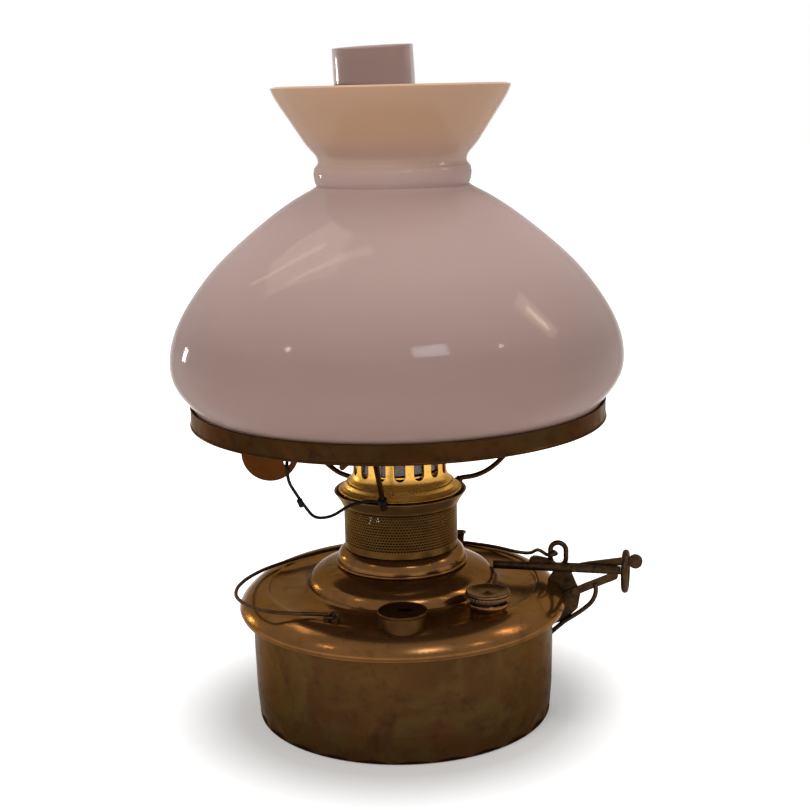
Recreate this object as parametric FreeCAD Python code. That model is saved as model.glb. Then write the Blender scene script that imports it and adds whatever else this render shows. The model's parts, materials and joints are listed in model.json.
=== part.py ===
"""Kerosene lamp: a brass font with a round-wick burner, an opal shade on a three-armed holder and a clear chimney.

All sizes are in millimetres. Z is up, the origin is on the lamp's axis in the plane that the font stands on,
and -Y is the front. Heights and radii are measured from that origin.
"""
import FreeCAD, Part

import math
import os

V = FreeCAD.Vector
ORIGIN = V(0, 0, 0)
UP = V(0, 0, 1)

# Font: a drum with a fluted foot, closed by a pressed shoulder with a dome
FOOT_RADIUS = 88.2
DRUM_RADIUS = 90.0
DRUM_HEIGHT = 67.0
SHEET = 1.1
FLOOR = 1.6
FLUTES = 24
FLUTE_DEPTH = 1.35
FLUTE_HEIGHT = 13.0
FLUTE_CUTTER_RADIUS = 100.0
FLUTE_TURN = 2.0
SHOULDER_RADIUS = 98.0
SHOULDER_HEIGHT = 66.0
VALLEY_HEIGHT = 76.3
NECK_HOLE_RADIUS = 28.9

# Neck collar, brazed on the dome
COLLAR_BORE = 27.5
COLLAR_TOP = 100.7
COLLAR_FOOT = 90.6

# Fittings on the shoulder: the gauge cup, the filler and the vent
CUP_PLACE = (-0.3, -75.8)
CUP_RADIUS = 13.6
CUP_TOP = 86.3
FILLER_PLACE = (48.2, -55.7)
FILLER_BORE = 8.6
FILLER_TOP = 83.1
CAP_RADIUS = 13.0
CAP_UNDERSIDE = 86.3
CAP_GRIPS = 36
VENT_PLACE = (37.5, 57.0)

# Bail: a loose wire from a staple at the front left round the back to the eye of the side bracket
STAPLE_RADIUS = 75.4
STAPLE_ANGLE = 239.1
STAPLE_WIDTH = 6.0
BAIL_WIRE = 1.1
BAIL_HEIGHT = 80.3
HOOK_HEIGHT = 78.8

# Side bracket: flat bars in planes that stand on edge beside the font. A place on it is given as
# the distance along the bars, the distance behind the lamp's axis and the height.
BRACKET_TURN = -13.24
ROD_RADIUS = 2.6
ROD_HEIGHT = 84.1
ROD_BACK = 19.6
ROD_ENDS = (52.5, 129.2)
STRAP_BACK = 21.4
BAR_BACK = 23.2
PLATE = 1.8
BAR_WIDTH = 4.6
RIVET_RADIUS = 1.2
EYE_WIRE = 1.55
EYE_BACK = 24.75
EYE_MIDDLE = 91.25
EYE_HALF = 4.7
RING_ALONG = 131.8
RING_HEIGHT = 82.8
RING_RADIUS = 11.0
RING_WIRE = 2.0

# Burner: a threaded base, a basket for the air, and two wick tubes
BURNER_SEAT = 101.0
BASKET_RADIUS = 33.7
BASKET_SHEET = 0.7
BASKET_TOP = 135.4
TUBE_TOP = 149.5
TUBE_OUTER = (12.5, 13.1)
TUBE_INNER = (8.9, 9.5)
WICK_RADII = (9.8, 12.2)
WICK_TOP = 150.3
DUCT_WIDTH = 10.0
SPINDLE_PLACE = (16.45, 110.0)
SPINDLE_RADIUS = 1.2
SPINDLE_ENDS = (-9.6, 45.0)
BEARING_BORE = 1.25
WHEEL_TEETH = 8
WHEEL_RADII = (2.6, 3.9)
KNOB_RADIUS = 10.0
KNOB_GRIPS = 24

# Gallery: the slotted crown that holds the chimney
CROWN_RADIUS = 27.6
CROWN_TOP = 166.0
CROWN_SLOTS = 15
SLOT_WIDTH = 6.5
SLOT_FOOT = 146.1
LEDGE_BORE = 23.5
GALLERY_SHEET = 0.7

# Shade holder: a flared ring on the basket, three wire arms and a band
HOLDER_FOOT = 127.9
BAND_RADIUS = 121.0
BAND_SHEET = 1.1
BAND_FOOT = 179.8
BAND_TOP = 191.3
LEDGE_RADIUS = 112.0
ARM_WIRE = 1.55
ARM_FOOT_RADIUS = 2.3

# Glass: the opal shade and the clear chimney, which leans a little to the left in its gallery
SHADE_WALL = 3.0
SHADE_FOOT = 181.2
CHIMNEY_FOOT = 149.4
CHIMNEY_WALL = 1.8
CHIMNEY_LENGTH = 242.0
CHIMNEY_LEAN = 2.3

# Tag and its tie
TAG_CENTRE = (-70.2, -70.0, 175.9)
TAG_RADIUS = 15.6
TAG_THICKNESS = 1.0
TIE_RADIUS = 0.9


def smooth(points):
    """One edge through (radius, height) pairs: a line for two of them, a smooth curve for more."""
    places = [V(r, 0, z) for r, z in points]
    if len(places) == 2:
        return Part.makeLine(places[0], places[1])
    curve = Part.BSplineCurve()
    curve.interpolate(places)
    return curve.toShape()


def beside(points, distance):
    """The same run of points moved to the left of its own direction."""
    places = [V(r, 0, z) for r, z in points]
    if len(places) == 2:
        tangents = [places[1] - places[0]] * 2
    else:
        curve = Part.BSplineCurve()
        curve.interpolate(places)
        tangents = [curve.tangent(curve.parameter(p))[0] for p in places]
    moved = []
    for place, tangent in zip(places, tangents):
        tangent = V(tangent).normalize()
        moved.append((place.x - tangent.z * distance, place.z + tangent.x * distance))
    return moved


def joined(runs):
    """Edges through several smooth runs, with a straight line from each run to the next."""
    edges = []
    for index, run in enumerate(runs):
        if index and runs[index - 1][-1] != run[0]:
            edges.append(smooth([runs[index - 1][-1], run[0]]))
        edges.append(smooth(run))
    return edges


def lathe(runs):
    """Solid of revolution about the lamp's axis from a closed outline, given as smooth runs."""
    edges = joined(runs)
    if runs[-1][-1] != runs[0][0]:
        edges.append(smooth([runs[-1][-1], runs[0][0]]))
    face = Part.Face(Part.Wire(edges))
    return face.revolve(ORIGIN, UP, 360)


def lathe_points(*points):
    """Solid of revolution from a closed outline with straight sides."""
    return lathe(straight(points))


def straight(points):
    """Runs of two points each, for straight sides through all the points."""
    return [[a, b] for a, b in zip(points, points[1:])]


def inner_side(runs, thickness):
    """Straight sides on the left of the runs, at the thickness of the sheet, from the last run back to the first."""
    inside = [place for run in runs for place in beside(run, thickness)]
    return straight(inside[::-1])


def spun_sheet(runs, thickness):
    """Sheet metal or glass spun to the outer runs, with its thickness on their left."""
    return lathe(runs + inner_side(runs, thickness))


def tube(inner, outer, low, high):
    """Plain tube on the lamp's axis."""
    return lathe_points((inner, low), (outer, low), (outer, high), (inner, high))


def cylinder(place, direction, radius, length):
    return Part.makeCylinder(radius, length, place, direction)


def rounded_path(points):
    """Straight runs joined by arcs, each as large as its two runs allow."""
    edges = []
    last = points[0]
    for before, corner, after in zip(points, points[1:], points[2:]):
        to_before = (before - corner).normalize()
        to_after = (after - corner).normalize()
        reach = 0.45 * min((before - corner).Length, (after - corner).Length)
        start = corner + to_before * reach
        end = corner + to_after * reach
        half_turn = (math.pi - to_before.getAngle(to_after)) / 2
        radius = reach / math.tan(half_turn)
        inward = (to_before + to_after).normalize()
        middle = corner + inward * (radius / math.cos(half_turn) - radius)
        edges.append(Part.makeLine(last, start))
        edges.append(Part.Arc(start, middle, end).toShape())
        last = end
    edges.append(Part.makeLine(last, points[-1]))
    return Part.Wire(edges)


def bent_rod(points, radius):
    """Round wire bent through the points."""
    path = rounded_path(points)
    ring = Part.Wire(Part.makeCircle(radius, points[0], points[1] - points[0]))
    return path.makePipeShell([ring], True, False)


def at_angle(radius, degrees, height):
    angle = math.radians(degrees)
    return V(radius * math.cos(angle), radius * math.sin(angle), height)


def turned_copies(shape, count):
    """Copies of a shape, evenly spaced about the lamp's axis."""
    copies = []
    for index in range(count):
        copy = shape.copy()
        copy.rotate(ORIGIN, UP, 360.0 * index / count)
        copies.append(copy)
    return Part.makeCompound(copies)


def font_body():
    wall_at_flute_top = 89.5
    outside = [(0, 0), (FOOT_RADIUS, 0), (wall_at_flute_top, 17.0), (DRUM_RADIUS, 42.0),
        (DRUM_RADIUS, DRUM_HEIGHT)]
    inner_radius = DRUM_RADIUS - SHEET
    inside = [(inner_radius, DRUM_HEIGHT), (inner_radius - 0.2, 22.0), (85.0, 16.0), (84.6, FLOOR + 1.0),
        (84.0, FLOOR)]
    body = lathe_points(*outside, *inside, (0, FLOOR))
    lean = math.atan((wall_at_flute_top - FOOT_RADIUS + FLUTE_DEPTH) / FLUTE_HEIGHT)
    direction = V(math.sin(lean), 0, math.cos(lean))
    middle = V(FOOT_RADIUS - FLUTE_DEPTH + FLUTE_CUTTER_RADIUS / math.cos(lean), 0, 0)
    flute = cylinder(middle - direction * 20, direction, FLUTE_CUTTER_RADIUS, 80)
    flute.rotate(ORIGIN, UP, FLUTE_TURN)
    stiffening_groove = tube(66.0, 78.0, -1.0, 0.7)
    return body.cut([turned_copies(flute, FLUTES), stiffening_groove])


def shoulder_runs():
    """Outer profile of the shoulder, from the rolled edge inwards to the hole in the dome."""
    roll = [(97.3, 64.5), (SHOULDER_RADIUS, SHOULDER_HEIGHT), (96.8, 69.3), (93.5, 73.2), (89.0, 76.4),
        (84.2, 77.9), (80.2, 77.6)]
    valley = [(79.5, 76.7), (75.5, VALLEY_HEIGHT), (68.0, 76.1), (61.0, 76.6), (57.8, 77.6)]
    dome = [(56.6, 78.8), (55.5, 82.0), (53.0, 85.3), (48.5, 87.9), (44.0, 89.4), (38.6, 90.5)]
    return [roll, valley, dome, [(38.6, 90.5), (NECK_HOLE_RADIUS, 90.5)]]


SEAM_EDGE = [(95.4, 63.6), (96.9, 63.4), (97.3, 64.5)]


def shoulder_blank():
    """The shoulder with no holes: its sheet and the folded seam that grips the drum."""
    runs = shoulder_runs()
    return lathe(runs + inner_side(runs, SHEET) + straight([(90.2, 67.5), (90.2, 63.6),
        SEAM_EDGE[0]]) + [SEAM_EDGE])


def pierced_shoulder():
    """The shoulder with the holes of its fittings."""
    holes = [
        cylinder(V(*CUP_PLACE, 60), UP, 10.5, 40),
        cylinder(V(*FILLER_PLACE, 60), UP, FILLER_BORE + 0.2, 40),
        cylinder(V(*VENT_PLACE, 60), UP, 1.8, 40),
    ]
    return shoulder_blank().cut(holes)


def below_the_roll():
    """Everything inside the outer surface of the roll, down to the foot of its seam."""
    roll = shoulder_runs()[0]
    return lathe([roll] + straight([roll[-1], (0, roll[-1][1]), (0, 63.6), SEAM_EDGE[0]]) + [SEAM_EDGE])


def neck_collar():
    """Rounded collar with a bead at its foot, and a spigot through the hole in the dome."""
    foot = COLLAR_FOOT
    fit = NECK_HOLE_RADIUS - 0.2
    spigot = [(COLLAR_BORE, foot - 4.1), (fit, foot - 4.1), (fit, foot), (38.5, foot)]
    bead = [(38.5, foot), (39.2, 91.3), (39.2, 92.0), (38.3, 92.8)]
    side = [(38.3, 92.8), (38.1, 95.0), (37.2, 97.6), (35.6, 99.6), (33.9, COLLAR_TOP)]
    return lathe(straight(spigot) + [bead, side, [side[-1], (COLLAR_BORE, COLLAR_TOP)]])


def moved(shape, x, y, z=0.0):
    shape = shape.copy()
    shape.translate(V(x, y, z))
    return shape


def gauge_cup(shoulder):
    bead = [(CUP_RADIUS, 84.8), (CUP_RADIUS + 0.35, 85.6), (CUP_RADIUS, CUP_TOP)]
    rim = [(CUP_RADIUS, CUP_TOP), (CUP_RADIUS - 0.8, CUP_TOP)]
    bore = [(CUP_RADIUS - 0.8, CUP_TOP), (CUP_RADIUS - 1.1, 72.0)]
    outside = [(CUP_RADIUS - 0.1, 72.0), (CUP_RADIUS - 0.1, 84.2), (CUP_RADIUS, 84.8)]
    cup = moved(lathe([bead, rim, bore, [bore[1], outside[0]], outside[:2], outside[1:]]), *CUP_PLACE)
    below = lathe([[(0, 60), (96, 60)], [(96, 60),
        (93.5, 72.6)]] + inner_shoulder_line() + [[(57.8, 77.0), (0, 77.0)]])
    return cup.cut([shoulder, below])


def inner_shoulder_line():
    """The valley and the roll seen from below, a little inside the sheet, from the outer edge inwards."""
    return [[(93.5, 72.6), (89.0, 75.8), (84.2, 77.2), (80.4, 77.0), (75.5, 75.7), (68.0, 75.5),
        (61.0, 76.0), (57.8, 77.0)]]


def gauge_disc():
    """Sheet disc that closes the cup, with an irregular hole where its glass is gone."""
    disc = cylinder(V(*CUP_PLACE, 84.6), UP, CUP_RADIUS - 1.25, 0.9)
    hole_middle = V(CUP_PLACE[0] + 1.6, CUP_PLACE[1] + 2.6, 82.0)
    corners = []
    for degrees, reach in ((10, 5.0), (62, 3.3), (105, 3.2), (150, 5.0), (205, 4.4), (248, 3.3),
        (300, 3.4), (338, 4.6)):
        corners.append(hole_middle + at_angle(reach, degrees, 0))
    hole = Part.Face(Part.makePolygon(corners + corners[:1])).extrude(V(0, 0, 4))
    return disc.cut(hole)


def filler_collar(shoulder):
    lip = [(10.2, 78.0), (10.7, 79.4), (11.7, 80.9), (12.1, 82.1), (11.8, FILLER_TOP)]
    collar = lathe([
        [(FILLER_BORE, 74.0), (10.2, 74.0)],
        [(10.2, 74.0), (10.2, 78.0)],
        lip,
        [lip[-1], (FILLER_BORE, FILLER_TOP)],
    ])
    below = lathe([[(0, 60), (96, 60)], [(96, 60),
        (93.5, 72.6)]] + inner_shoulder_line() + [[(57.8, 77.0), (0, 77.0)]])
    return moved(collar, *FILLER_PLACE).cut([shoulder, below])


def filler_cap():
    """Screw cap with a milled lower disc and a smooth upper one, partly unscrewed as it stands on the lamp."""
    foot = CAP_UNDERSIDE - 7.1
    groove = CAP_UNDERSIDE + 1.4
    top = CAP_UNDERSIDE + 3.1
    corners = [
        (0, foot), (8.0, foot), (8.3, foot + 0.5), (8.3, CAP_UNDERSIDE), (CAP_RADIUS - 0.5, CAP_UNDERSIDE),
        (CAP_RADIUS, CAP_UNDERSIDE + 0.4), (CAP_RADIUS, groove), (CAP_RADIUS - 0.8, groove + 0.2),
        (CAP_RADIUS - 0.4, groove + 0.5), (CAP_RADIUS - 0.4, top - 0.6),
    ]
    edge = [corners[-1], (CAP_RADIUS - 0.7, top - 0.15), (CAP_RADIUS - 1.4, top)]
    dish = [edge[-1], (CAP_RADIUS - 2.2, top - 0.35), (0, top - 0.2)]
    cap = lathe(straight(corners) + [edge, dish])
    notch = cylinder(V(CAP_RADIUS + 0.35, 0, CAP_UNDERSIDE - 1), UP, 0.75, groove + 1 - CAP_UNDERSIDE)
    return moved(cap.cut(turned_copies(notch, CAP_GRIPS)), *FILLER_PLACE)


def cap_gasket():
    return moved(tube(8.5, 11.4, CAP_UNDERSIDE - 1.3, CAP_UNDERSIDE - 0.05), *FILLER_PLACE)


def vent_tube(shoulder):
    outside = [(2.9, 76.0), (2.6, 80.0), (2.6, 86.5), (3.2, 88.6), (4.2, 89.6)]
    stem = lathe([outside, [(4.2, 89.6), (3.7, 90.1)], [(3.7, 90.1), (2.3, 88.4), (1.8, 86.0)],
        [(1.8, 86.0), (1.8, 76.0)]])
    return moved(stem, *VENT_PLACE).cut(shoulder)


def staple_leg(side):
    """Middle of a leg of the staple, half the staple's width along the shoulder from its middle."""
    angle = math.radians(STAPLE_ANGLE)
    along = V(-math.sin(angle), math.cos(angle), 0)
    return at_angle(STAPLE_RADIUS, STAPLE_ANGLE, 0) + along * (side * STAPLE_WIDTH / 2)


def bail_staple(shoulder):
    foot = VALLEY_HEIGHT - 0.6
    crown = 81.6
    places = [staple_leg(side) + V(0, 0, height) for side,
        height in ((-1, foot), (-1, crown), (1, crown), (1, foot))]
    return bent_rod(places, 0.9).cut(shoulder)


def around(middle, heading, half, corners):
    """Corners of a square turn of wire about a leg. Each is (forwards, sideways) in half widths."""
    forwards = V(math.cos(math.radians(heading)), math.sin(math.radians(heading)), 0)
    sideways = V(-forwards.y, forwards.x, 0)
    return [middle + forwards * (half * a) + sideways * (half * b) for a, b in corners]


def on_bracket(along, back, height):
    """Place on the side bracket, in the lamp's frame."""
    turn = math.radians(BRACKET_TURN)
    return V(along * math.cos(turn) - back * math.sin(turn),
        along * math.sin(turn) + back * math.cos(turn), height)


def bail_wire():
    """Wire bail, hooked round a leg of the staple and round the eye of the side bracket."""
    hook_half = 2.75
    front_leg = staple_leg(-1) + V(0, 0, HOOK_HEIGHT)
    hook = around(front_leg, -14.0, hook_half, [(-3.0, 1.0), (1.0, 1.0), (1.0, -1.0), (-1.0, -1.0)])
    sweep = [
        V(-57.5, -61.8, 80.4), V(-70.0, -59.0, BAIL_HEIGHT), V(-81.5, -54.0, BAIL_HEIGHT),
        V(-91.0, -43.5, BAIL_HEIGHT), V(-97.5, -30.0, BAIL_HEIGHT), V(-98.4, -14.5, BAIL_HEIGHT),
        V(-94.4, 1.5, BAIL_HEIGHT), V(-86.0, 18.0, BAIL_HEIGHT), V(-73.5, 32.5, BAIL_HEIGHT),
        V(-57.0, 48.5, BAIL_HEIGHT), V(-37.0, 61.0, BAIL_HEIGHT), V(-14.0, 69.5, BAIL_HEIGHT),
        V(12.0, 72.5, 80.0), V(38.0, 68.5, 79.6), V(60.0, 56.0, 79.6), V(73.0, 42.5, 79.9),
        V(80.0, 31.0, 82.6),
    ]
    eye_half = 3.35
    eye_middle = on_bracket(EYE_MIDDLE - EYE_HALF, EYE_BACK, 91.0)
    eye = around(eye_middle, -72.0, eye_half, [(-3.2, -1.0), (1.0, -1.0), (1.0, 1.0), (-1.0, 1.0),
        (-1.0, 0.1)])
    return bent_rod(list(reversed(hook)) + sweep + eye, BAIL_WIRE)


def bracket_bar(places, back, thickness, width, holes):
    """Flat bar on edge through (along, height) places, with round ends and rivet holes."""
    behind = on_bracket(0, 1, 0)
    pieces = []
    for along, height in places:
        pieces.append(cylinder(on_bracket(along, back - thickness, height), behind, width / 2, thickness))
    for (along_a, height_a), (along_b, height_b) in zip(places, places[1:]):
        a = on_bracket(along_a, back - thickness, height_a)
        b = on_bracket(along_b, back - thickness, height_b)
        across = (b - a).cross(behind).normalize() * (width / 2)
        outline = Part.makePolygon([a + across, b + across, b - across, a - across, a + across])
        pieces.append(Part.Face(outline).extrude(behind * thickness))
    bar = pieces[0].fuse(pieces[1:]).removeSplitter()
    for along, height in holes:
        bar = bar.cut(cylinder(on_bracket(along, back - thickness - 1, height), behind,
            RIVET_RADIUS + 0.05, thickness + 2))
    return bar


ROD_RIVET = (101.2, ROD_HEIGHT)
LOWER_RIVET = (101.0, 69.1)


def bracket_rod(shoulder):
    """Half-round main rod, flat at the back, brazed to the flank of the dome."""
    along = on_bracket(1, 0, 0)
    behind = on_bracket(0, 1, 0)
    rod = cylinder(on_bracket(ROD_ENDS[0], ROD_BACK, ROD_HEIGHT), along, ROD_RADIUS,
        ROD_ENDS[1] - ROD_ENDS[0])
    corner = on_bracket(ROD_ENDS[0] - 5, ROD_BACK, ROD_HEIGHT - 10)
    back_half = Part.Face(Part.makePolygon([
        corner, corner + along * 100, corner + along * 100 + UP * 20, corner + UP * 20, corner,
    ])).extrude(behind * 10)
    hole = cylinder(on_bracket(ROD_RIVET[0], ROD_BACK - 5, ROD_RIVET[1]), behind, RIVET_RADIUS + 0.05, 10)
    return rod.cut([back_half, hole, shoulder])


def bracket_strap():
    """Tapered plate on the rim of the font and the drum, with a wing that reaches over the roll."""
    behind = on_bracket(0, 1, 0)
    outline = [
        (90.0, 86.0), (104.5, 86.0), (104.5, 82.2), (99.6, 81.4), (105.2, 68.2), (103.6, 58.8),
        (95.5, 50.5), (86.0, 47.0),
        (84.0, 74.0), (88.3, 80.8),
    ]
    corners = [on_bracket(along, STRAP_BACK - PLATE, height) for along, height in outline]
    plate = Part.Face(Part.makePolygon(corners + corners[:1])).extrude(behind * PLATE)
    for along, height in (ROD_RIVET, LOWER_RIVET):
        plate = plate.cut(cylinder(on_bracket(along, STRAP_BACK - 3, height), behind, RIVET_RADIUS + 0.05,
            4))
    drum = cylinder(V(0, 0, 20), UP, DRUM_RADIUS, 50)
    return plate.cut([below_the_roll(), drum])


def bracket_upper_bar():
    """Upper bar behind the rod, with the round end that keeps the ring on it."""
    places = [(91.3, 83.8), (104.0, 84.0), (110.0, 85.4), (129.5, 88.9), (137.6, 89.2)]
    bar = bracket_bar(places, BAR_BACK, PLATE, BAR_WIDTH, [ROD_RIVET])
    end = cylinder(on_bracket(137.6, BAR_BACK - 2.2, 89.2), on_bracket(0, 1, 0), 4.2, 2.6)
    return bar.fuse(end).removeSplitter()


def bracket_lug():
    """Thick lug brazed to the back of the rod, which stiffens the foot of the eye."""
    outline = [(73.5, 84.4), (74.5, 88.7), (76.3, 89.8), (79.0, 89.8), (88.8, 88.0), (88.8, 84.4)]
    corners = [on_bracket(along, ROD_BACK, height) for along, height in outline]
    return Part.Face(Part.makePolygon(corners + corners[:1])).extrude(on_bracket(0, BAR_BACK - ROD_BACK, 0))


def bracket_lower_bar(rod):
    """Lower bar in front of the plate, from the rim of the font up to the underside of the rod."""
    places = [(96.5, 66.8), (108.2, 72.8), (125.4, 80.7)]
    bar = bracket_bar(places, STRAP_BACK - PLATE, PLATE, BAR_WIDTH, [LOWER_RIVET])
    return bar.cut([below_the_roll(), rod])


def bracket_eye():
    """Upright oval eye of round wire, brazed to the back of the upper bar."""
    half = EYE_HALF
    low, high = 88.4, 93.2
    middle = EYE_MIDDLE
    behind = on_bracket(0, 1, 0)
    section_place = on_bracket(middle + half, EYE_BACK, low)
    section = Part.Face(Part.Wire(Part.makeCircle(EYE_WIRE, section_place, UP)))
    right = section.extrude(UP * (high - low))
    upper_section = moved(section, 0, 0, high - low)
    upper_turn = upper_section.revolve(on_bracket(middle, EYE_BACK, high), behind, -180)
    left = moved(right, *(on_bracket(-2 * half, 0, 0)[:2]))
    lower_turn = section.revolve(on_bracket(middle, EYE_BACK, low), behind, 180)
    return right.fuse([upper_turn, left, lower_turn]).removeSplitter()


def bracket_brace(lower_bar):
    """Bent wire from the lower bar down to the drum."""
    route = [(114.3, 76.5), (114.8, 69.5), (112.3, 63.8), (107.3, 59.0), (101.8, 54.9), (96.0, 51.0),
        (91.3, 46.6), (85.0, 40.6)]
    brace = bent_rod([on_bracket(along, 18.1, height) for along, height in route], 1.4)
    above = cylinder(on_bracket(114.3, 12, 79.0), on_bracket(0, 1, 0), 3.4, 15)
    return brace.cut([lower_bar, above, cylinder(V(0, 0, 20), UP, DRUM_RADIUS, 50)])


def rivet(place, front, back):
    """Rivet along the bracket's depth, with a low round head at each end."""
    behind = on_bracket(0, 1, 0)
    along, height = place
    pieces = [cylinder(on_bracket(along, front, height), behind, RIVET_RADIUS, back - front)]
    for depth, direction in ((front, behind * -1), (back, behind)):
        foot = on_bracket(along, depth, height)
        pieces.append(Part.makeCone(1.9, 1.2, 0.6, foot, direction))
    return pieces[0].fuse(pieces[1:]).removeSplitter()


def bracket_rivets(rod):
    """One rivet through rod, plate and upper bar, and one through the lower bar and the plate."""
    rod_rivet = rivet(ROD_RIVET, ROD_BACK - ROD_RADIUS, BAR_BACK).cut(rod)
    return Part.makeCompound([rod_rivet, rivet(LOWER_RIVET, STRAP_BACK - 2 * PLATE, STRAP_BACK)])


def hanging_ring():
    return Part.makeTorus(RING_RADIUS, RING_WIRE, on_bracket(RING_ALONG, 22.3, RING_HEIGHT),
        on_bracket(1, 0, 0))


def burner_plug():
    """Plug of the burner that screws into the neck collar."""
    return tube(25.6, 27.2, 87.0, BURNER_SEAT)


def burner_floor():
    """Floor of the burner that carries the basket and the wick tubes."""
    return tube(TUBE_OUTER[1] + 0.05, BASKET_RADIUS - BASKET_SHEET - 0.05, BURNER_SEAT, BURNER_SEAT + 1.0)


def burner_basket():
    """Sheet basket that lets the air in, with a seat bead for the shade holder and a hole for the spindle bush."""
    inner = BASKET_RADIUS - BASKET_SHEET
    runs = [
        [(inner, BURNER_SEAT), (BASKET_RADIUS - 0.3, BURNER_SEAT)],
        [(BASKET_RADIUS - 0.3, BURNER_SEAT), (BASKET_RADIUS, BURNER_SEAT + 0.4)],
        [(BASKET_RADIUS, BURNER_SEAT + 0.4), (BASKET_RADIUS, HOLDER_FOOT - 1.4)],
        [(BASKET_RADIUS, HOLDER_FOOT - 1.4), (BASKET_RADIUS + 0.8, HOLDER_FOOT - 0.8),
        (BASKET_RADIUS, HOLDER_FOOT - 0.2)],
        [(BASKET_RADIUS, HOLDER_FOOT - 0.2), (BASKET_RADIUS, BASKET_TOP)],
        [(BASKET_RADIUS, BASKET_TOP), (inner, BASKET_TOP)],
    ]
    x, z = SPINDLE_PLACE
    bush_hole = cylinder(V(x, 20, z), V(0, 1, 0), 2.65, 20)
    return lathe(runs).cut(bush_hole)


def wick_tube():
    """Outer wick tube with slots for the toothed wheels and a mouth for the draught duct."""
    shape = tube(*TUBE_OUTER, 96.0, TUBE_TOP)
    x, z = SPINDLE_PLACE
    cuts = [Part.makeBox(4, 3.2, 7.0, V(11.5, y - 1.6, z - 3.5)) for y in (-4, 4)]
    cuts.append(Part.makeBox(DUCT_WIDTH + 0.1, 5, 8.1, V(-DUCT_WIDTH / 2 - 0.05, -15, 106.95)))
    return shape.cut(cuts)


def draught_tube():
    """Inner tube, closed below, with the duct that brings air to it from the side."""
    inner, outer = TUBE_INNER
    cup = lathe_points((0, 106.2), (outer, 106.2), (outer, TUBE_TOP), (inner, TUBE_TOP), (inner, 107.0),
        (0, 107.0))
    duct = Part.makeBox(DUCT_WIDTH, 6.0, 8.0, V(-DUCT_WIDTH / 2, -13.0, 107.0))
    bore = Part.makeBox(DUCT_WIDTH - 1.4, 10.0, 6.6, V(-DUCT_WIDTH / 2 + 0.7, -14.0, 107.7))
    passage = cylinder(V(0, 0, 107.0), UP, inner, 40)
    return cup.fuse(duct.cut(passage)).cut(bore).removeSplitter()


def wick():
    """Round wick, split where the duct passes, with one tail that hangs into the font."""
    inner, outer = WICK_RADII
    ring = tube(inner, outer, 103.0, WICK_TOP)
    slit = Part.makeBox(DUCT_WIDTH + 3.4, 14.0, 20.0, V(-DUCT_WIDTH / 2 - 1.7, -14.0, 102.0))
    tail = tube(inner, outer, 12.0, 103.5).common(Part.makeBox(17.0, 14.0, 100.0, V(-8.5, 4.0, 10.0)))
    return ring.cut(slit).fuse(tail).removeSplitter()


def wick_spindle():
    x, z = SPINDLE_PLACE
    return cylinder(V(x, SPINDLE_ENDS[0], z), V(0, 1, 0), SPINDLE_RADIUS, SPINDLE_ENDS[1] - SPINDLE_ENDS[0])


def wick_wheels():
    """Two pointed wheels that push the wick through the slots of its tube."""
    x, z = SPINDLE_PLACE
    root, tip = WHEEL_RADII
    wheels = []
    for y in (-5.0, 3.0):
        corners = []
        for index in range(2 * WHEEL_TEETH):
            radius = tip if index % 2 == 0 else root
            angle = math.pi * index / WHEEL_TEETH
            corners.append(V(x - radius * math.cos(angle), y, z + radius * math.sin(angle)))
        star = Part.Face(Part.makePolygon(corners + corners[:1])).extrude(V(0, 2, 0))
        wheels.append(star.cut(cylinder(V(x, y - 1, z), V(0, 1, 0), SPINDLE_RADIUS, 4)))
    return Part.makeCompound(wheels)


def wick_knob():
    """Dished hand wheel with a milled edge."""
    x, z = SPINDLE_PLACE
    disc = lathe([
        [(0, 0), (KNOB_RADIUS - 0.6, 0)],
        [(KNOB_RADIUS - 0.6, 0), (KNOB_RADIUS, 0.6)],
        [(KNOB_RADIUS, 0.6), (KNOB_RADIUS, 3.4)],
        [(KNOB_RADIUS, 3.4), (KNOB_RADIUS - 0.6, 4.0)],
        [(KNOB_RADIUS - 0.6, 4.0), (KNOB_RADIUS - 1.6, 4.0)],
        [(KNOB_RADIUS - 1.6, 4.0), (7.0, 2.4), (4.0, 2.2), (2.6, 3.4)],
        [(2.6, 3.4), (0, 4.2)],
        [(0, 4.2), (0, 0)],
    ])
    notch = cylinder(V(KNOB_RADIUS + 0.35, 0, -1), UP, 0.95, 6)
    knob = disc.cut(turned_copies(notch, KNOB_GRIPS))
    knob.rotate(ORIGIN, V(1, 0, 0), -90)
    return moved(knob, x, SPINDLE_ENDS[1], z)


def spindle_bush():
    """Bush that carries the spindle where it leaves the basket."""
    x, z = SPINDLE_PLACE
    along = V(0, 1, 0)
    flange = cylinder(V(x, 33.2, z), along, 3.6, 1.2)
    body = cylinder(V(x, 25.5, z), along, 2.6, 8.0)
    return body.fuse(flange).cut(cylinder(V(x, 20, z), along, BEARING_BORE, 20)).removeSplitter()


def spindle_bracket():
    """Bent strip on the burner's floor with a bearing ear on each side of the wheels."""
    x, z = SPINDLE_PLACE
    floor = BURNER_SEAT + 1.0
    base = Part.makeBox(6.0, 17.2, 0.8, V(x - 2.0, -8.6, floor))
    ears = []
    for y in (-8.6, 7.8):
        ear = Part.makeBox(6.0, 0.8, z - floor, V(x - 2.0, y, floor))
        round_top = cylinder(V(x + 1.0, y, z), V(0, 1, 0), 3.0, 0.8)
        ears.append(ear.fuse(round_top))
    bore = cylinder(V(x, -12, z), V(0, 1, 0), BEARING_BORE, 24)
    return base.fuse(ears).cut(bore).removeSplitter()


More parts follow.
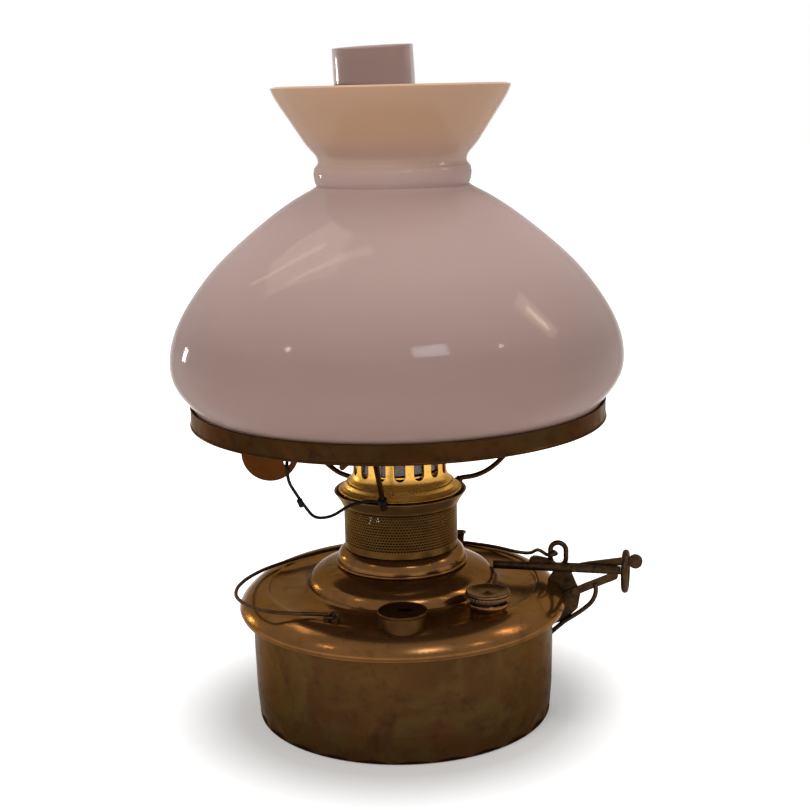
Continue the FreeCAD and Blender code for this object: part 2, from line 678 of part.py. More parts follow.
def gallery_crown():
    """Slotted crown for the chimney: a bell, fifteen prongs and the ledge that the glass stands on."""
    skirt = BASKET_RADIUS - BASKET_SHEET - 0.3
    skirt_foot = BASKET_TOP - 2.7
    rim = BASKET_TOP + 0.4
    wall = CROWN_RADIUS - GALLERY_SHEET
    flange = [(35.7, rim), (36.5, rim + 0.3), (36.1, rim + 0.8)]
    collar = [(36.1, rim + 0.8), (34.9, 136.9), (33.7, 137.9)]
    step = [(33.7, 137.9), (32.6, 139.2), (31.8, 140.7), (30.9, 140.9)]
    bell = [(30.9, 140.9), (30.3, 141.8), (29.2, 143.0), (28.1, 145.2), (CROWN_RADIUS, 148.0)]
    prongs = [(CROWN_RADIUS, 148.0), (CROWN_RADIUS - 0.1, 155.0), (CROWN_RADIUS + 0.4, CROWN_TOP)]
    prongs_inside = [(r - GALLERY_SHEET, z) for r, z in reversed(prongs)]
    ledge = [(wall, 148.0), (LEDGE_BORE, 148.0), (LEDGE_BORE, 147.2), (wall + 0.1, 147.2)]
    bell_inside = [(wall + 0.1, 147.2), (27.4, 144.6), (29.2, 141.5), (31.4, 139.4), (32.9, 137.4)]
    foot = [(32.9, 137.4), (skirt - 0.6, 136.6), (skirt - 0.6, skirt_foot), (skirt, skirt_foot),
        (skirt, rim), (35.7, rim)]
    blank = lathe([flange, collar, step, bell, prongs,
        prongs_inside] + straight(ledge + bell_inside[1:] + foot[1:]))
    slot = Part.makeBox(6.0, SLOT_WIDTH, 30.0, V(25.5, -SLOT_WIDTH / 2, SLOT_FOOT + SLOT_WIDTH / 2))
    slot = slot.fuse(cylinder(V(25.5, 0, SLOT_FOOT + SLOT_WIDTH / 2), V(1, 0, 0), SLOT_WIDTH / 2, 6.0))
    slot.rotate(ORIGIN, UP, -90)
    return blank.cut(turned_copies(slot, CROWN_SLOTS))


def holder_profile():
    """Outer flare of the holder's ring, with its rolled lip."""
    flare = [(34.9, 0.0), (35.7, 1.8), (37.3, 4.2), (38.8, 6.6)]
    lip = [(38.8, 6.6), (39.3, 7.2), (38.6, 7.6)]
    return [[(r, HOLDER_FOOT + z) for r, z in run] for run in (flare, lip)]


def holder_ring():
    """Flared ring that slips over the basket and carries the three arms."""
    flare, lip = holder_profile()
    inside = [(r, HOLDER_FOOT + z) for r, z in ((37.9, 7.0), (36.4, 4.8), (34.9, 2.6), (34.0, 1.2))]
    return lathe([[(34.0, HOLDER_FOOT), flare[0]], flare, lip, [lip[-1], inside[0]], inside])


ARM_ENDS = [(95.0, 163.0), (108.5, 176.4), (112.5, 178.2), (118.0, 178.2)]
ARMS = {
    "holder_arm_front": (-104.5, [
        (38.4, 133.4), (41.8, 141.0), (45.4, 147.6), (48.4, 154.0), (51.9, 160.5), (57.0, 168.0),
        (66.0, 174.5),
        (80.0, 177.4), (98.0, 178.2), (118.0, 178.2),
    ]),
    "holder_arm_right": (28.5, [(38.6, 134.4), (42.6, 135.4), (52.2, 135.1), (61.0, 137.1),
    (69.0, 141.2)] + ARM_ENDS),
    "holder_arm_left": (135.0, [(38.6, 134.4), (43.0, 134.9), (53.1, 135.7), (61.7, 138.7),
    (70.0, 143.0)] + ARM_ENDS),
}


def holder_arm(degrees, route):
    """Bent wire arm from the flared ring up to the ledge of the band, with a flattened foot."""
    arm = bent_rod([at_angle(r, degrees, z) for r, z in route], ARM_WIRE)
    start = at_angle(38.5, degrees, 133.4)
    direction = (at_angle(route[1][0], degrees, route[1][1]) - start).normalize()
    foot = cylinder(start, direction, ARM_FOOT_RADIUS, 3.6)
    flare, lip = holder_profile()
    top = lip[-1][1]
    ring_filled = lathe([[(0, 120.0), (34.9, 120.0)], [(34.9, 120.0), flare[0]], flare, lip,
        [lip[-1], (0, top)]])
    return arm.fuse(foot).cut(ring_filled).removeSplitter()


def shade_band():
    """Band that the shade stands in: an upright strip, a ledge and a rolled lower edge."""
    inner = BAND_RADIUS - BAND_SHEET
    return lathe([
        [(LEDGE_RADIUS, BAND_FOOT), (BAND_RADIUS - 0.6, BAND_FOOT)],
        [(BAND_RADIUS - 0.6, BAND_FOOT), (BAND_RADIUS + 0.6, 180.4), (BAND_RADIUS, 181.6)],
        [(BAND_RADIUS, 181.6), (BAND_RADIUS, 190.4)],
        [(BAND_RADIUS, 190.4), (BAND_RADIUS + 0.3, 190.9), (BAND_RADIUS - 0.3, BAND_TOP)],
        [(BAND_RADIUS - 0.3, BAND_TOP), (inner, BAND_TOP - 0.3)],
        [(inner, BAND_TOP - 0.3), (inner, 180.9)],
        [(inner, 180.9), (LEDGE_RADIUS, 180.9)],
        [(LEDGE_RADIUS, 180.9), (LEDGE_RADIUS, BAND_FOOT)],
    ])


def shade_glass():
    """Opal shade: a straight foot, a full dome, a grooved bead and a flared crown."""
    foot = [(117.5, SHADE_FOOT), (117.7, 186.5), (118.9, 190.5), (121.8, 194.6), (127.0, 201.3)]
    dome = foot + [
        (130.7, 209.5), (131.4, 218.5), (129.4, 229.5), (124.0, 242.0), (115.6, 255.0), (104.6, 268.5),
        (91.4, 281.0), (77.5, 292.5), (65.0, 301.8), (54.5, 308.4), (47.2, 312.2),
    ]
    bead = [(43.6, 314.6), (44.6, 317.2), (45.1, 320.6), (44.5, 324.2), (43.0, 326.2)]
    crown = [(42.3, 327.6), (42.9, 330.5), (46.6, 335.2), (50.4, 340.2), (55.4, 348.0), (61.0, 356.5),
        (65.2, 363.3), (67.8, 369.3)]
    return spun_sheet([dome, bead, crown], SHADE_WALL)


def chimney_glass():
    """Clear chimney: a wide foot, a waist at the flame and a long tube."""
    length = CHIMNEY_LENGTH
    outside = [(26.0, 0), (26.0, 28.0), (25.9, 52.0), (24.4, 61.0), (20.6, 69.0), (19.4, 76.0),
        (20.0, 95.0), (21.8, 150.0), (22.8, length)]
    inside = beside(outside, CHIMNEY_WALL)
    glass = lathe([outside, inside[::-1]])
    glass.rotate(ORIGIN, V(0, 1, 0), -CHIMNEY_LEAN)
    return moved(glass, 0, 0, CHIMNEY_FOOT)


def tag_disc():
    """Bare round tag, pierced near its edge."""
    x, y, z = TAG_CENTRE
    disc = cylinder(V(x, y - TAG_THICKNESS / 2, z), V(0, 1, 0), TAG_RADIUS, TAG_THICKNESS)
    return disc.cut(cylinder(V(x + 9.0, y - 5, z - 5.4), V(0, 1, 0), 1.9, 10))


def tag_tie(front_arm):
    """Stiff tie from the tag's hole to the foot of the front arm, with its clasp."""
    x, y, z = TAG_CENTRE
    route = [
        V(x + 9.0, y + 2.6, z - 5.0), V(x + 9.0, y - 3.1, z - 6.0), V(-60.8, -72.2, 160.0),
        V(-54.5, -65.0, 146.5),
        V(-48.0, -61.0, 135.6), V(-38.5, -57.0, 135.2), V(-29.0, -51.0, 139.8), V(-19.5, -45.6, 140.6),
        V(-10.6, -40.9, 138.5),
    ]
    strap = bent_rod(route, TIE_RADIUS)
    clasp = cylinder(V(-55.6, -66.3, 148.0), V(0.55, 0.55, -1.5), 1.7, 4.2)
    start, end = (at_angle(r, ARMS["holder_arm_front"][0], height) for r,
        height in ((40.15, 137.3), (41.8, 141.0)))
    loop = cylinder(start, end - start, ARM_WIRE + 1.1, 2.6)
    return strap.fuse([clasp, loop]).cut(front_arm).removeSplitter()


def main():
    shoulder = pierced_shoulder()
    inside_crease = cylinder(V(0, 0, 60), UP, 79.9, 40)
    rod = bracket_rod(shoulder)
    lower_bar = bracket_lower_bar(rod)
    shapes = {
        "font_body": font_body(),
        "font_rim": shoulder.cut(inside_crease),
        "font_top": shoulder.common(inside_crease),
        "neck_collar": neck_collar(),
        "gauge_cup": gauge_cup(shoulder),
        "gauge_disc": gauge_disc(),
        "filler_collar": filler_collar(shoulder),
        "filler_cap": filler_cap(),
        "cap_gasket": cap_gasket(),
        "vent_tube": vent_tube(shoulder),
        "bail_staple": bail_staple(shoulder),
        "bail_wire": bail_wire(),
        "bracket_rod": rod,
        "bracket_strap": bracket_strap(),
        "bracket_upper_bar": bracket_upper_bar(),
        "bracket_lug": bracket_lug(),
        "bracket_lower_bar": lower_bar,
        "bracket_eye": bracket_eye(),
        "bracket_brace": bracket_brace(lower_bar),
        "bracket_rivets": bracket_rivets(rod),
        "hanging_ring": hanging_ring(),
        "burner_plug": burner_plug(),
        "burner_floor": burner_floor(),
        "burner_basket": burner_basket(),
        "wick_tube": wick_tube(),
        "draught_tube": draught_tube(),
        "wick": wick(),
        "wick_spindle": wick_spindle(),
        "wick_wheels": wick_wheels(),
        "wick_knob": wick_knob(),
        "spindle_bush": spindle_bush(),
        "spindle_bracket": spindle_bracket(),
        "gallery_crown": gallery_crown(),
        "holder_ring": holder_ring(),
        "shade_band": shade_band(),
        "shade_glass": shade_glass(),
        "chimney_glass": chimney_glass(),
        "tag_disc": tag_disc(),
    }
    for name, (degrees, route) in ARMS.items():
        shapes[name] = holder_arm(degrees, route)
    shapes["tag_tie"] = tag_tie(shapes["holder_arm_front"])
    os.makedirs("parts", exist_ok=True)
    for name, shape in shapes.items():
        box = shape.BoundBox
        print(name, "solids", len(shape.Solids), "valid", shape.isValid(), "volume %.0f" % shape.Volume,
              "x %.1f %.1f y %.1f %.1f z %.1f %.1f" % (box.XMin, box.XMax, box.YMin, box.YMax, box.ZMin,
              box.ZMax))
        shape.exportStep("parts/%s.step" % name)


main()
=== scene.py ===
"""Looks of the kerosene lamp: materials, the pierced basket, light and camera. Lengths are in metres."""

import json
import math

import bpy
from mathutils import Euler, Matrix, Vector


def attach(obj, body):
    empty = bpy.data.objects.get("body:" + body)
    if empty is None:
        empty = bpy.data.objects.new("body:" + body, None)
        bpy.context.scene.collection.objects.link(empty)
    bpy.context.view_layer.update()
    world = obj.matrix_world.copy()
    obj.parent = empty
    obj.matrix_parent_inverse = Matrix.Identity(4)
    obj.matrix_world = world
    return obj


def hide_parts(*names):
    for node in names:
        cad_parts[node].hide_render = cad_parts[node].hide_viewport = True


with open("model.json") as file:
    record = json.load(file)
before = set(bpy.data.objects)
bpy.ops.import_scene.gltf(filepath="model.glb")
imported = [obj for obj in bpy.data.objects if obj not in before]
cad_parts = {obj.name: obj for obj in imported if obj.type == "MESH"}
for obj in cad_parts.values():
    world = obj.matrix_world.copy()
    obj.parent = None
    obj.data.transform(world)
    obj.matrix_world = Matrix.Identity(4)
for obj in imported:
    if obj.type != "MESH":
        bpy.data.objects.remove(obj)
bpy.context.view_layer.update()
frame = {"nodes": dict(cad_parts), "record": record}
NODES = frame["nodes"]
MM = 0.001

# Creases sharper than this many degrees stay sharp
NODE_CREASE = 32.0
BASKET_CREASE = 35.0


def colour(red, green, blue):
    """Scene colour from a display colour of 0 to 255."""
    def linear(value):
        value /= 255.0
        return value / 12.92 if value <= 0.04045 else ((value + 0.055) / 1.055) ** 2.4
    return (linear(red), linear(green), linear(blue))


# Node trees


class Graph:
    """Short way to build a material's node tree."""

    def __init__(self, name):
        self.material = bpy.data.materials.new(name)
        self.material.use_nodes = True
        self.tree = self.material.node_tree
        self.tree.nodes.clear()
        self.output = self.tree.nodes.new("ShaderNodeOutputMaterial")

    def add(self, kind, inputs=None, **settings):
        node = self.tree.nodes.new("ShaderNode" + kind)
        for name, value in settings.items():
            setattr(node, name, value)
        for name, value in (inputs or {}).items():
            self.plug(node, name, value)
        return node

    def plug(self, node, name, value):
        """Value for a socket, or a link to it from another socket or from a node's first output."""
        socket = node.inputs[name]
        if hasattr(value, "is_output"):
            self.tree.links.new(value, socket)
        elif isinstance(value, bpy.types.Node):
            self.tree.links.new(value.outputs[0], socket)
        else:
            socket.default_value = value

    def math(self, operation, a, b=0.0):
        return self.add("Math", {0: a, 1: b}, operation=operation)

    def noise(self, vector, scale, detail, roughness, distortion=0.0):
        return self.add("TexNoise", {
            "Vector": vector, "Scale": scale, "Detail": detail, "Roughness": roughness, "Distortion": distortion,
        })

    def ramp(self, factor, *stops):
        """Ramp through stops of a position and a grey value or a colour."""
        node = self.add("ValToRGB", {"Fac": factor})
        elements = node.color_ramp.elements
        while len(elements) < len(stops):
            elements.new(0.5)
        for element, (position, value) in zip(elements, stops):
            element.position = position
            element.color = (value, value, value, 1) if isinstance(value, float) else (*value, 1)
        return node

    def rise(self, value, start, end, low=0.0, high=1.0):
        """Even change from low to high while the value goes from start to end."""
        return self.add("MapRange", {
            "Value": value, "From Min": start, "From Max": end, "To Min": low, "To Max": high,
        })

    def mix(self, factor, a, b):
        """Mix of two colours, each a constant or the output of a node."""
        node = self.add("Mix", data_type="RGBA", blend_type="MIX")
        self.plug(node, 0, factor)
        for index, value in ((6, a), (7, b)):
            self.plug(node, index, (*value, 1) if isinstance(value, tuple) else value)
        return node.outputs[2]

    def bump(self, height, strength, distance, below=None):
        inputs = {"Height": height, "Strength": strength, "Distance": distance}
        if below:
            inputs["Normal"] = below
        return self.add("Bump", inputs)

    def shine(self, **inputs):
        """Principled surface, joined to the output."""
        names = {key.replace("_", " "): value for key, value in inputs.items()}
        shader = self.add("BsdfPrincipled", names)
        self.tree.links.new(shader.outputs[0], self.output.inputs["Surface"])


def place(graph):
    """Object coordinates in metres: the same point of the lamp whichever piece it is on."""
    return graph.add("TexCoord").outputs["Object"]


def height_above_floor(graph):
    return graph.add("SeparateXYZ", {"Vector": place(graph)}).outputs[2]


def around_axis(graph):
    """Distance from the lamp's axis and height, for marks that run round a turned piece."""
    parts = graph.add("SeparateXYZ", {"Vector": place(graph)})
    x, y, z = parts.outputs
    squares = graph.math("ADD", graph.math("MULTIPLY", x, x), graph.math("MULTIPLY", y, y))
    return graph.add("CombineXYZ", {"X": graph.math("SQRT", squares), "Y": 0.0, "Z": z})


# Materials


def aged_brass(name, bright, brown, dark, patina, roughness, tarnish=None, turned=True):
    """Brass with a cloudy brown patina, dark spots and worn bright edges, and patches of another tarnish."""
    g = Graph(name)
    where = place(g)
    clouds = g.noise(where, scale=18.0, detail=5.0, roughness=0.6, distortion=0.6)
    spots = g.noise(where, scale=95.0, detail=6.0, roughness=0.65, distortion=0.3)
    stain = g.ramp(clouds, (0.5 - patina * 0.32, 0.0), (0.74, 1.0))
    speckle = g.ramp(spots, (0.5, 0.0), (0.72, 1.0))
    edge = g.ramp(g.add("NewGeometry").outputs["Pointiness"], (0.49, 0.0), (0.56, 1.0))
    tone = g.mix(stain, bright, brown)
    if tarnish:
        patches = g.noise(where, scale=26.0, detail=4.0, roughness=0.55, distortion=1.5)
        tone = g.mix(g.ramp(patches, (0.46, 0.0), (0.64, 0.85)), tone, tarnish)
    tone = g.mix(g.math("MULTIPLY", speckle, 0.6), tone, dark)
    tone = g.mix(g.math("MULTIPLY", edge, 0.35), tone, bright)

    polished, dull = roughness
    rough = g.math("ADD", g.math("MULTIPLY", stain, dull - polished), polished)
    rough = g.math("ADD", rough, g.math("MULTIPLY", speckle, 0.12))
    grain = g.noise(where, scale=900.0, detail=3.0, roughness=0.6)
    height = g.math("MULTIPLY", grain, 0.25)
    if turned:
        rings = g.noise(around_axis(g), scale=1500.0, detail=2.0, roughness=0.5)
        height = g.math("ADD", height, g.math("MULTIPLY", rings, 0.15))
        rough = g.math("ADD", rough, g.math("MULTIPLY", g.math("SUBTRACT", rings, 0.5), 0.08))
    dents = g.noise(where, scale=34.0, detail=2.0, roughness=0.4)
    fine = g.bump(height, strength=0.12, distance=0.2 * MM)
    soft = g.bump(dents, strength=0.3, distance=1.2 * MM, below=fine)
    g.shine(
        Base_Color=tone, Metallic=0.8, Roughness=rough, IOR=1.15, Normal=soft,
        Specular_Tint=(0.58, 0.48, 0.39, 1),
    )
    return g.material


def dark_iron(name):
    """Iron with a brown skin of rust, rough and uneven."""
    g = Graph(name)
    where = place(g)
    rust = g.noise(where, scale=160.0, detail=6.0, roughness=0.7)
    grain = g.noise(where, scale=1400.0, detail=3.0, roughness=0.6)
    tone = g.ramp(
        rust, (0.35, (0.018, 0.010, 0.005)), (0.55, (0.052, 0.027, 0.011)), (0.75, (0.12, 0.057, 0.021)))
    rough = g.ramp(rust, (0.3, 0.30), (0.75, 0.62))
    height = g.math("ADD", g.math("MULTIPLY", rust, 0.7), g.math("MULTIPLY", grain, 0.3))
    bump = g.bump(height, strength=0.5, distance=0.4 * MM)
    g.shine(Base_Color=tone, Metallic=0.75, Roughness=rough, Normal=bump, Specular_Tint=(0.5, 0.4, 0.3, 1))
    return g.material


def opal_glass(name):
    """Milk glass: a pinkish white body with a glossy skin and faint streaks, and painted light by height:
    lighter over the upper dome, lighter and warmer at the top, and lighter low down.
    """
    g = Graph(name)
    where = place(g)
    streaks = g.noise(where, scale=7.0, detail=3.0, roughness=0.5, distortion=1.2)
    tone = g.mix(g.ramp(streaks, (0.35, 0.0), (0.7, 1.0)), colour(157, 132, 126), colour(162, 137, 130))
    # Painted light: the glass is painted lighter in bands by height, and warmer at the top, for how the light
    # falls on it.
    height = height_above_floor(g)
    upper_dome_painted_light = g.rise(height, 0.235, 0.305)
    top_painted_warm_light = g.rise(height, 0.318, 0.345)
    low_band_painted_light = g.rise(height, 0.232, 0.19)
    tone = g.mix(upper_dome_painted_light, tone, colour(188, 162, 156))
    tone = g.mix(top_painted_warm_light, tone, colour(200, 162, 134))
    tone = g.mix(g.math("MULTIPLY", low_band_painted_light, 0.7), tone, colour(180, 149, 138))
    wave = g.noise(where, scale=22.0, detail=1.0, roughness=0.3)
    bump = g.bump(wave, strength=0.05, distance=1.0 * MM)
    facing = g.add("LayerWeight", {"Blend": 0.5}).outputs["Facing"]
    skin = g.ramp(facing, (0.3, 0.5), (0.78, 0.02))
    g.shine(
        Base_Color=tone, Roughness=0.07, IOR=1.18, Normal=bump, Specular_IOR_Level=skin,
        Subsurface_Weight=0.15, Subsurface_Radius=(0.010, 0.007, 0.006), Subsurface_Scale=0.5,
    )
    return g.material


def clear_glass(name):
    """Clear glass with a slight haze and gentle waves from the blowing."""
    g = Graph(name)
    where = place(g)
    dust = g.noise(where, scale=14.0, detail=4.0, roughness=0.6)
    haze = g.ramp(dust, (0.4, 0.04), (0.75, 0.14))
    wave = g.noise(where, scale=30.0, detail=1.0, roughness=0.3)
    bump = g.bump(wave, strength=0.08, distance=1.0 * MM)
    g.shine(
        Base_Color=(*colour(186, 162, 154), 1), Roughness=haze, IOR=1.47, Transmission_Weight=0.85,
        Normal=bump,
    )
    return g.material


def cotton(name):
    """Wick cotton: a fine weave, white below and charred at the burning edge."""
    g = Graph(name)
    where = place(g)
    char = g.rise(height_above_floor(g), 0.14625, 0.1505)
    fuzz = g.noise(where, scale=700.0, detail=4.0, roughness=0.7)
    cloth = g.mix(fuzz, (0.55, 0.49, 0.38), (0.80, 0.75, 0.64))
    tone = g.mix(char, cloth, (0.015, 0.012, 0.010))
    weave = g.add("TexWave", {"Vector": where, "Scale": 420.0, "Distortion": 1.0}, bands_direction="DIAGONAL")
    bump = g.bump(weave.outputs["Fac"], strength=0.5, distance=0.4 * MM)
    g.shine(Base_Color=tone, Roughness=0.9, Normal=bump, Sheen_Weight=0.3)
    return g.material


def leather(name):
    g = Graph(name)
    grain = g.noise(place(g), scale=900.0, detail=5.0, roughness=0.6)
    tone = g.ramp(grain, (0.3, (0.018, 0.012, 0.008)), (0.7, (0.07, 0.045, 0.028)))
    bump = g.bump(grain, strength=0.4, distance=0.3 * MM)
    g.shine(Base_Color=tone, Roughness=0.7, Normal=bump)
    return g.material


def tie_plastic(name):
    g = Graph(name)
    grain = g.noise(place(g), scale=1200.0, detail=3.0, roughness=0.6)
    tone = g.ramp(grain, (0.3, (0.003, 0.003, 0.003)), (0.7, (0.010, 0.009, 0.008)))
    bump = g.bump(grain, strength=0.3, distance=0.2 * MM)
    g.shine(Base_Color=tone, Roughness=0.6, IOR=1.2, Normal=bump)
    return g.material


# Each brass: its bright, brown and dark colours, its patina, and its roughness where polished and dull
MATERIALS = {
    "font_brass": aged_brass(
        "font_brass", colour(120, 82, 45), colour(82, 55, 32), colour(50, 34, 21), 0.6, (0.11, 0.28)),
    # Painted shade: the drum and gauge cup get a darker copy of the brass, partly real dull patina with tarnish
    # patches, partly painted shade.
    "drum_brass_painted_shade": aged_brass(
        "drum_brass_painted_shade", colour(74, 48, 24), colour(56, 37, 19), colour(38, 25, 14), 0.6, (0.24, 0.45),
        tarnish=colour(72, 56, 28)),
    "dark_brass": aged_brass(
        "dark_brass", colour(58, 35, 14), colour(40, 24, 9), colour(26, 17, 9), 0.7, (0.26, 0.5),
        tarnish=colour(48, 35, 16)),
    "cap_brass": aged_brass(
        "cap_brass", colour(100, 73, 46), colour(68, 50, 33), colour(42, 31, 22), 0.5, (0.24, 0.42)),
    # Painted light: a lighter copy of the brass for the downward-facing holder ring, standing in for light that
    # does not reach it.
    "ring_brass_painted_light": aged_brass(
        "ring_brass_painted_light", colour(142, 112, 70), colour(100, 76, 46), colour(57, 42, 27), 0.5, (0.24, 0.42)),
    "burner_brass": aged_brass(
        "burner_brass", colour(89, 62, 29), colour(62, 43, 20), colour(38, 26, 13), 0.4, (0.22, 0.42)),
    "new_brass": aged_brass(
        "new_brass", colour(222, 170, 82), colour(196, 142, 62), colour(110, 76, 36), 0.15, (0.26, 0.42)),
    "tag_copper": aged_brass(
        "tag_copper", colour(76, 41, 13), colour(60, 31, 9), colour(38, 20, 8), 0.5, (0.35, 0.55), turned=False),
    "iron": dark_iron("iron"),
    "gasket": leather("gasket"),
    "wick_cotton": cotton("wick_cotton"),
    "opal_glass": opal_glass("opal_glass"),
    "clear_glass": clear_glass("clear_glass"),
    "tie_black": tie_plastic("tie_black"),
}

# Nodes whose brass differs from that of the rest of their slot: a darker copy on the drum and gauge cup as
# painted shade, a lighter copy on the holder ring as painted light
OTHER_BRASS = {"font_body": "drum_brass_painted_shade", "gauge_cup": "drum_brass_painted_shade", "holder_ring": "ring_brass_painted_light"}


def dress(piece, material):
    piece.data.materials.clear()
    piece.data.materials.append(MATERIALS[material])


for entry in frame["record"]["subparts"]:
    dress(NODES[entry["node"]], OTHER_BRASS.get(entry["node"], entry["material_slot"]))


# Pierced basket


BASKET_RADIUS = 33.7 * MM
BASKET_SHEET = 0.7 * MM
PIERCED = (105.0 * MM, 126.4 * MM)
HOLE_ROWS = 13
HOLE_COLUMNS = 120
# Half the width and half the height of a hole, as shares of its cell
HOLE_ACROSS = 0.40
HOLE_UP = 0.21
WELD_GAP = 1e-5

# Corners and edge middles of a cell, in half cells from its hole, anticlockwise
CELL_RIM = ((1, 0), (1, 1), (0, 1), (-1, 1), (-1, 0), (-1, -1), (0, -1), (1, -1))

# Plain bands below and above the holes, as (radius, height) in millimetres
BAND_BELOW = [(33.0, 101.0), (33.4, 101.0), (33.7, 101.4), (33.7, 105.0)]
BAND_ABOVE = [
    (33.7, 126.4), (33.7, 126.5), (34.2, 126.8), (34.4, 127.1), (34.2, 127.4), (33.7, 127.7), (33.7, 135.4),
]


def smooth(piece, crease):
    """Smooth shading that keeps the creases sharper than the angle."""
    piece.data.shade_smooth()
    piece.data.set_sharp_from_angle(angle=math.radians(crease))


def on_wall(radius, angle, height):
    return (radius * math.cos(angle), radius * math.sin(angle), height)


def add_pierced_wall(vertices, faces):
    """Staggered rows of cells, each a ring of faces about its oval hole. Neighbours share their corners."""
    quarter_cells = 4 * HOLE_COLUMNS
    row_height = (PIERCED[1] - PIERCED[0]) / HOLE_ROWS
    hole_across = HOLE_ACROSS * (2 * math.pi * BASKET_RADIUS / HOLE_COLUMNS)
    hole_up = HOLE_UP * row_height
    sides = len(CELL_RIM)
    corners = {}

    def corner(quarter, half_row):
        key = (quarter % quarter_cells, half_row)
        if key not in corners:
            angle = 2 * math.pi * quarter / quarter_cells
            height = PIERCED[0] + (PIERCED[1] - PIERCED[0]) * half_row / (2 * HOLE_ROWS)
            corners[key] = len(vertices)
            vertices.append(on_wall(BASKET_RADIUS, angle, height))
        return corners[key]

    for row in range(HOLE_ROWS):
        middle = PIERCED[0] + (row + 0.5) * row_height
        for column in range(HOLE_COLUMNS):
            centre = 4 * column + 2 * (row % 2)
            angle = 2 * math.pi * centre / quarter_cells
            outer = [corner(centre + 2 * across, 2 * row + 1 + up) for across, up in CELL_RIM]
            hole = len(vertices)
            for step in range(sides):
                turn = 2 * math.pi * step / sides
                across = hole_across * math.cos(turn) / BASKET_RADIUS
                vertices.append(on_wall(BASKET_RADIUS, angle + across, middle + hole_up * math.sin(turn)))
            for step in range(sides):
                after = (step + 1) % sides
                faces.append((outer[step], outer[after], hole + after, hole + step))


def add_band(profile, vertices, faces):
    """Plain turned band, with as many segments as the pierced wall has corners in a row."""
    segments = 2 * HOLE_COLUMNS
    start = len(vertices)
    for radius, height in profile:
        for step in range(segments):
            vertices.append(on_wall(radius * MM, 2 * math.pi * step / segments, height * MM))
    for low in range(start, start + (len(profile) - 1) * segments, segments):
        high = low + segments
        for step in range(segments):
            after = (step + 1) % segments
            faces.append((low + step, low + after, high + after, high + step))


def pierced_basket():
    """Basket of the burner in place of the plain one: a pierced wall between two plain bands."""
    vertices, faces = [], []
    add_pierced_wall(vertices, faces)
    add_band(BAND_BELOW, vertices, faces)
    add_band(BAND_ABOVE, vertices, faces)
    mesh = bpy.data.meshes.new("pierced_basket")
    mesh.from_pydata(vertices, [], faces)
    mesh.validate()
    piece = bpy.data.objects.new("pierced_basket", mesh)
    bpy.context.scene.collection.objects.link(piece)
    dress(piece, "burner_brass")
    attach(piece, "burner")
    weld = piece.modifiers.new("weld", "WELD")
    weld.merge_threshold = WELD_GAP
    wall = piece.modifiers.new("wall", "SOLIDIFY")
    wall.thickness = BASKET_SHEET
    wall.offset = -1.0
    smooth(piece, BASKET_CREASE)
    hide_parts("burner_basket")


pierced_basket()

for node in NODES.values():
    smooth(node, NODE_CREASE)


# Camera


PHOTO_PIXELS = 810
FOCAL_PIXELS = 1487.6
SENSOR_MM = 36.0
CAMERA_PLACE = Vector((0.0, -0.8554, 0.3694))
CAMERA_DOWN = math.radians(12.12)
CAMERA_TURN = math.radians(0.27)
CAMERA_ROLL = math.radians(-1.32)


def add_camera():
    data = bpy.data.cameras.new("camera")
    data.sensor_width = SENSOR_MM
    data.lens = FOCAL_PIXELS / PHOTO_PIXELS * SENSOR_MM
    camera = bpy.data.objects.new("camera", data)
    bpy.context.scene.collection.objects.link(camera)
    turn = Euler((math.pi / 2 - CAMERA_DOWN, 0.0, -CAMERA_TURN), "XYZ").to_matrix()
    roll = Matrix.Rotation(CAMERA_ROLL, 3, "Z")
    camera.matrix_world = Matrix.Translation(CAMERA_PLACE) @ (turn @ roll).to_4x4()
    bpy.context.scene.camera = camera


add_camera()


# Floor and background


FLOOR_HALF = 6.0
FLOOR_DROP = 0.5 * MM
WORLD_LIGHT = 0.42


def seen_directly(g):
    """1 for what the camera sees, also in metal and through glass, else 0."""
    path = g.add("LightPath")
    total = g.math("ADD", path.outputs["Is Camera Ray"], path.outputs["Is Glossy Ray"])
    total = g.math("ADD", total, path.outputs["Is Transmission Ray"])
    return g.math("MINIMUM", total, 1.0)


def add_floor():
    """Pale floor that keeps the lamp's shadow, with a painted shadow close round the lamp where its glow is
    turned down, and runs out into the white background.
    """
    g = Graph("floor")
    paper = g.add("BsdfDiffuse", {"Color": (0.80, 0.80, 0.80, 1)})
    from_lamp = g.add("VectorMath", {0: place(g)}, operation="LENGTH").outputs["Value"]
    # Painted shadow: the glow is weakest within 0.10 m of the lamp's axis and rises to full by 0.19 m.
    glow_with_painted_shadow = g.rise(from_lamp, 0.10, 0.19, 0.15, 0.93)
    far = g.rise(from_lamp, 0.45, 1.3, 0.0, 0.15)
    lift = g.math("ADD", glow_with_painted_shadow, far)
    strength = g.math("MULTIPLY", seen_directly(g), lift)
    glow = g.add("Emission", {"Color": (1, 1, 1, 1), "Strength": strength})
    both = g.add("AddShader", {0: paper, 1: glow})
    g.tree.links.new(both.outputs[0], g.output.inputs["Surface"])
    corners = [(x * FLOOR_HALF, y * FLOOR_HALF, 0) for x, y in ((-1, -1), (1, -1), (1, 1), (-1, 1))]
    mesh = bpy.data.meshes.new("floor")
    mesh.from_pydata(corners, [], [(0, 1, 2, 3)])
    floor = bpy.data.objects.new("floor", mesh)
    bpy.context.scene.collection.objects.link(floor)
    mesh.materials.append(g.material)
    floor.location.z = -FLOOR_DROP


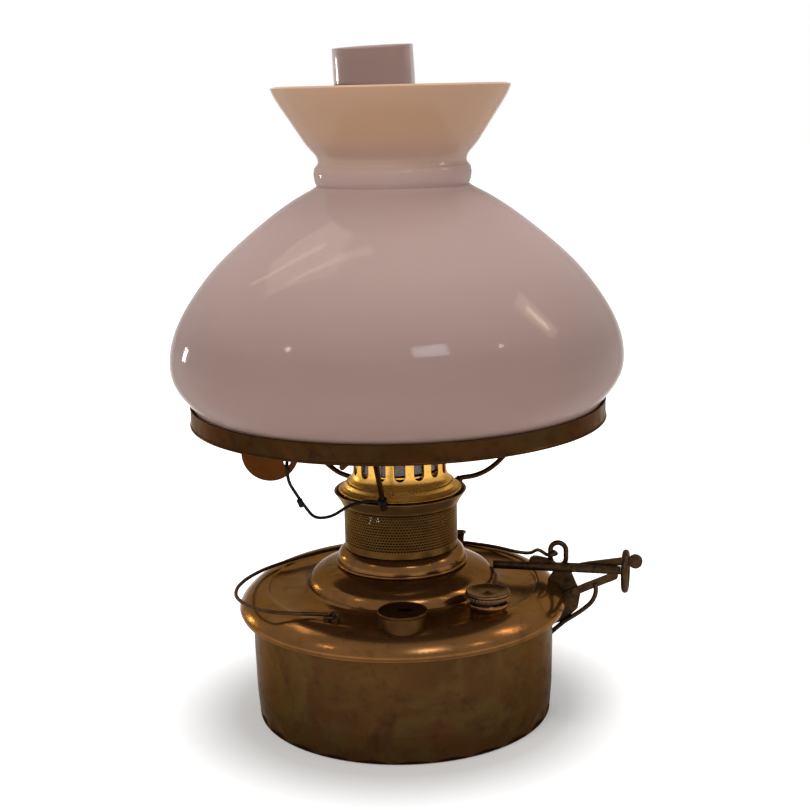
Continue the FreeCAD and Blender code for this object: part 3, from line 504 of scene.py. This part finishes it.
def add_world():
    """White to the eye, in metal and through glass, and a softer white for the light it gives."""
    world = bpy.data.worlds.new("world")
    bpy.context.scene.world = world
    world.use_nodes = True
    tree = world.node_tree
    tree.nodes.clear()
    path = tree.nodes.new("ShaderNodeLightPath")
    soft = tree.nodes.new("ShaderNodeMapRange")
    soft.inputs["To Min"].default_value = 1.0
    soft.inputs["To Max"].default_value = WORLD_LIGHT
    tree.links.new(path.outputs["Is Diffuse Ray"], soft.inputs["Value"])
    background = tree.nodes.new("ShaderNodeBackground")
    background.inputs["Color"].default_value = (1, 1, 1, 1)
    tree.links.new(soft.outputs[0], background.inputs["Strength"])
    output = tree.nodes.new("ShaderNodeOutputWorld")
    tree.links.new(background.outputs[0], output.inputs["Surface"])


add_floor()
add_world()


# Lamps


LAMP_MIDDLE = (0.0, 0.0, 0.2)
SHADE_MIDDLE = (0.0, 0.0, 0.25)
WHITE = (1.0, 1.0, 1.0)
WARM = (1.0, 0.86, 0.62)
STRIP_GAP = 0.22

# Each lamp: its name, its place, what it points at, its size, its power in watts and its tint
LIGHTING = (
    ("key", (-1.1, -1.5, 1.9), LAMP_MIDDLE, (1.1, 1.1), 19.0, (1.0, 0.96, 0.91)),
    ("fill", (1.9, -1.2, 1.0), LAMP_MIDDLE, (1.6, 1.6), 7.0, (1.0, 0.95, 0.88)),
    ("top", (0.2, 0.3, 2.4), LAMP_MIDDLE, (1.4, 1.4), 24.0, WHITE),
)
REFLECTIONS = [
    ("window", (0.42, -1.22, 1.33), SHADE_MIDDLE, (0.44, 0.24), 6.6, (0.82, 0.9, 1.0)),
    ("door_light", (-1.28, 0.95, 0.28), SHADE_MIDDLE, (0.07, 0.18), 3.0, WHITE),
    ("right_strip", (1.34, 0.05, 1.2), SHADE_MIDDLE, (0.25, 0.55), 2.6, WARM),
    ("right_core", (1.32, 0.05, 1.18), SHADE_MIDDLE, (0.08, 0.3), 1.2, WARM),
    ("left_glow", (-0.8, 0.36, 1.6), SHADE_MIDDLE, (0.55, 0.8), 4.5, WARM),
    ("left_bulb", (-1.3, -0.7, 1.25), LAMP_MIDDLE, (0.07, 0.07), 1.1, WARM),
    ("right_bulb", (1.2, -0.75, 1.2), LAMP_MIDDLE, (0.07, 0.07), 0.7, WARM),
]
for number, offset in enumerate((-STRIP_GAP, 0.0, STRIP_GAP)):
    strip_place = (-0.8 + offset, 0.36 - offset, 1.6)
    REFLECTIONS.append(("left_strip_%d" % number, strip_place, SHADE_MIDDLE, (0.05, 0.8), 0.7, WARM))


def add_lamp(name, place_at, towards, size, power, tint, reflected):
    """Soft lamp that either lights the scene or is only seen as a reflection."""
    data = bpy.data.lights.new(name, "AREA")
    data.shape = "RECTANGLE"
    data.size, data.size_y = size
    data.energy = power
    data.color = tint
    lamp = bpy.data.objects.new(name, data)
    bpy.context.scene.collection.objects.link(lamp)
    lamp.location = place_at
    lamp.rotation_euler = (Vector(towards) - Vector(place_at)).to_track_quat("-Z", "Y").to_euler()
    lamp.visible_glossy = reflected
    lamp.visible_diffuse = not reflected


for lamp_values in LIGHTING:
    add_lamp(*lamp_values, reflected=False)
for lamp_values in REFLECTIONS:
    add_lamp(*lamp_values, reflected=True)

bpy.context.scene.view_settings.view_transform = "Standard"
